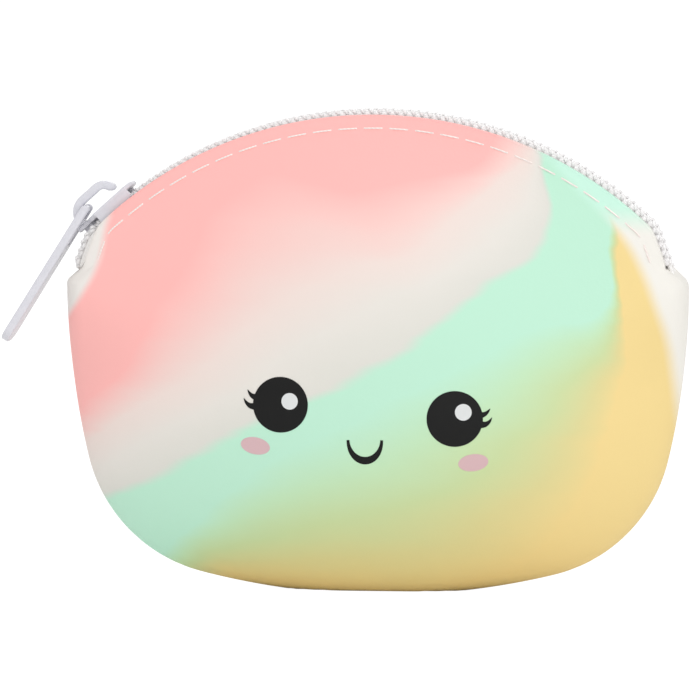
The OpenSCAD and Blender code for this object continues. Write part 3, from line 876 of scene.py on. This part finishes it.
def stroke(points, widths):
    """A ribbon through points, as wide at each as its width says."""
    bm = bmesh.new()
    edge = None
    for i, ((x, z), width) in enumerate(zip(points, widths)):
        before, after = points[max(i - 1, 0)], points[min(i + 1, len(points) - 1)]
        way = Vector((after[0] - before[0], after[1] - before[1], 0)).normalized()
        over = Vector((-way.y, way.x, 0)) * width / 2
        ends = (Vector((x, z, 0)) - over, Vector((x, z, 0)) + over)
        if edge is None:
            edge = bm.edges.new([bm.verts.new(end) for end in ends])
            continue
        low, high = sorted(edge.verts, key=lambda v: (v.co - ends[0]).length)
        grown = bmesh.ops.extrude_edge_only(bm, edges=[edge])["geom"]
        edge = next(g for g in grown if isinstance(g, bmesh.types.BMEdge)
                    and low not in g.verts and high not in g.verts)
        for vert in edge.verts:
            vert.co = ends[0] if any(e.other_vert(vert) is low for e in vert.link_edges) else ends[1]
    return bm


# %% Eyes, lashes, blushes and smile
eye_radius, shine_radius, blush_size, lash_width = 4.88, 1.45, (2.62, 1.5), 1.45
eyes = {"left": ((-15.25, 34.07), (-13.6, 34.7), (-19.75, 26.76), -10),
        "right": ((15.31, 31.85), (16.8, 33.03), (18.49, 24.15), 8)}
lashes = {"left": (((-18.9, 35.5), (-20.3, 34.9), (-21.1, 36.6)), ((-19.2, 33.9), (-20.9, 33.2), (-21.8, 35.1))),
          "right": (((18.9, 32.8), (20.4, 32.0), (21.45, 33.65)), ((19.2, 31.1), (20.9, 30.3), (21.75, 32.1)))}
steps = [i / 10 for i in range(11)]
for which, (eye, shine, cheek, cheek_tilt) in eyes.items():
    lay_on_front("eye_" + which, spot(*eye, eye_radius, eye_radius), black_ink, 0.04)
    lay_on_front("eye_shine_" + which, spot(*shine, shine_radius, shine_radius), white_ink, 0.06)
    for number, (start, bend, tip) in enumerate(lashes[which], 1):
        line = [tuple((1 - t) ** 2 * start[k] + 2 * t * (1 - t) * bend[k] + t * t * tip[k] for k in (0, 1))
                for t in steps]
        lash = stroke(line, [lash_width * (1 - t) ** 0.8 + 0.06 for t in steps])
        lay_on_front("lash_%s_%d" % (which, number), lash, black_ink, 0.05)
    lay_on_front("blush_" + which, spot(*cheek, *blush_size, cheek_tilt), blush_ink, 0.04)
smile_at, smile_half, smile_drop = (-0.36, 28.05), 2.95, 3.62
angles = [math.pi * (1 + i / 40) for i in range(41)]
line = [(smile_at[0] + smile_half * math.cos(a), smile_at[1] + smile_drop * math.sin(a)) for a in angles]
lay_on_front("smile", stroke(line, [0.5 + 0.82 * abs(math.sin(a)) ** 1.6 for a in angles]), black_ink, 0.04)

# %% [markdown]
# ## Floor and light
# The picture has a pure white ground. The floor and the world are white to the camera, while the light on the
# purse stays plain and soft: a pale sky all round, and four large lamps, high in front, at the right, low in
# front and behind. The floor keeps a share of its own shading, so a faint shadow shows where the purse stands.

# %% White floor
ground = bmesh.new()
bmesh.ops.create_grid(ground, x_segments=1, y_segments=1, size=3)
mesh = bpy.data.meshes.new("floor")
ground.to_mesh(mesh)
ground.free()
floor = bpy.data.objects.new("floor", mesh)
bpy.context.scene.collection.objects.link(floor)
paper, shader = finish("white paper ground")
shader.inputs["Base Color"].default_value = linear("F4F4F4")
shader.inputs["Roughness"].default_value = 0.9
glow = add(paper, "Emission", {"Color": (1, 1, 1, 1), "Strength": 1.2})
seen = add(paper, "LightPath").outputs["Is Camera Ray"]
share = add(paper, "Math", {0: seen, 1: 0.82}, operation="MULTIPLY").outputs[0]
mix = add(paper, "MixShader", {0: share, 1: shader.outputs[0], 2: glow.outputs[0]})
wire(paper, (mix.outputs[0], paper.node_tree.nodes["Material Output"].inputs["Surface"]))
mesh.materials.append(paper)
print("floor: %.0f m square" % floor.dimensions.x)

# %% World and lamps
world = bpy.data.worlds.new("studio")
world.use_nodes = True
bpy.context.scene.world = world
sky = world.node_tree.nodes["Background"]
sky.inputs["Color"].default_value = (1, 1, 1, 1)
sky.inputs["Strength"].default_value = 0.78
white = add(world, "Background", {"Color": (1, 1, 1, 1), "Strength": 1.1})
path = add(world, "LightPath").outputs
either = add(world, "Math", {0: path["Is Camera Ray"], 1: path["Is Transmission Ray"]}, operation="MAXIMUM")
mix = add(world, "MixShader", {0: either.outputs[0], 1: sky.outputs[0], 2: white.outputs[0]})
wire(world, (mix.outputs[0], world.node_tree.nodes["World Output"].inputs["Surface"]))
lamps = (("key", (0.1, -0.6, 0.7), 0.7, 1.3), ("side", (0.6, -0.5, 0.45), 0.6, 1.0),
         ("front", (0.2, -0.9, 0.06), 0.5, 0.85), ("back", (-0.2, 0.8, 0.5), 0.7, 1.5))
for name, position, size, power in lamps:
    lamp = bpy.data.objects.new(name, bpy.data.lights.new(name, "AREA"))
    bpy.context.scene.collection.objects.link(lamp)
    lamp.location = position
    lamp.rotation_euler = (Vector((0, 0, 0.045)) - Vector(position)).to_track_quat("-Z", "Y").to_euler()
    lamp.data.size, lamp.data.energy = size, power
bpy.context.scene.view_settings.view_transform = "Standard"
print("lamps: %d" % len(lamps))
